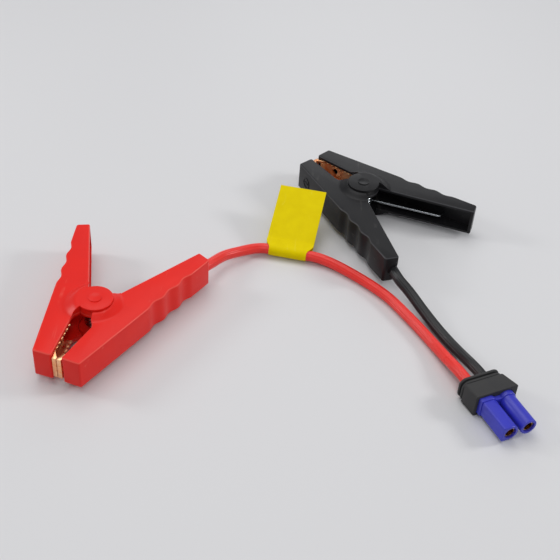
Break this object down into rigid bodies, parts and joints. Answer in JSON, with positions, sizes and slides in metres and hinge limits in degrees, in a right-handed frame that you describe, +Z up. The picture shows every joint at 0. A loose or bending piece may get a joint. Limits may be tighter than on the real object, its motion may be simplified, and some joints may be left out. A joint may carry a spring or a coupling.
{
  "type": "jump starter clamp",
  "caption": "Red and black spring clamps with toothed copper jaws on short cables that meet in a blue two-pole plug, with a blank yellow flag tag.",
  "frame": {"origin": "on the floor, under the middle of the box round the two clamps as they lie", "axes": "+Z up from the floor through the clamps' pivots, +X from the red clamp towards the black clamp's handles, +Y from the plug towards the black clamp"},
  "size_m": [0.2546, 0.2249, 0.0257],
  "materials": {
    "red_plastic": "satin moulded plastic, fine even grain",
    "black_plastic": "satin moulded plastic, fine even grain",
    "copper_plate": "copper-plated pressed sheet, bright on the teeth",
    "spring_steel": "drawn wire, bright",
    "red_cable_skin": "soft cable sleeve with fine lengthwise lines",
    "black_cable_skin": "soft cable sleeve with fine lengthwise lines",
    "yellow_vinyl": "printed vinyl sheet, folded and stuck",
    "boot_rubber": "moulded rubber, matte",
    "blue_nylon": "moulded nylon, satin",
    "gold_contact": "gold-plated brass tube"
  },
  "bodies": {
    "clamps_and_cables": {"red_cable_handle": "red_plastic", "red_cable_jaw": "copper_plate", "red_pivot_pin": "spring_steel", "red_spring": "spring_steel", "red_cable": "red_cable_skin", "black_cable_handle": "black_plastic", "black_cable_jaw": "copper_plate", "black_pivot_pin": "spring_steel", "black_spring": "spring_steel", "black_cable": "black_cable_skin", "cable_tag": "yellow_vinyl", "plug_boot": "boot_rubber", "plug_housing": "blue_nylon", "plug_contact_red": "gold_contact", "plug_contact_black": "gold_contact"},
    "red_lever": {"red_lever_handle": "red_plastic", "red_lever_jaw": "copper_plate"},
    "black_lever": {"black_lever_handle": "black_plastic", "black_lever_jaw": "copper_plate"}
  },
  "joints": [
    {"name": "red_lever_hinge", "type": "hinge", "parent": "clamps_and_cables", "child": "red_lever", "pos_m": [-0.09468, -0.05906, 0], "axis": [0, 0, -1], "range_deg": [0, 40], "stiffness_Nm_per_rad": 0.8, "springref_deg": -34.38, "deforming": ["red_spring"]},
    {"name": "black_lever_hinge", "type": "hinge", "parent": "clamps_and_cables", "child": "black_lever", "pos_m": [0.04914, 0.06615, 0], "axis": [0, 0, -1], "range_deg": [0, 40], "stiffness_Nm_per_rad": 0.8, "springref_deg": -34.38, "deforming": ["black_spring"]}
  ]
}
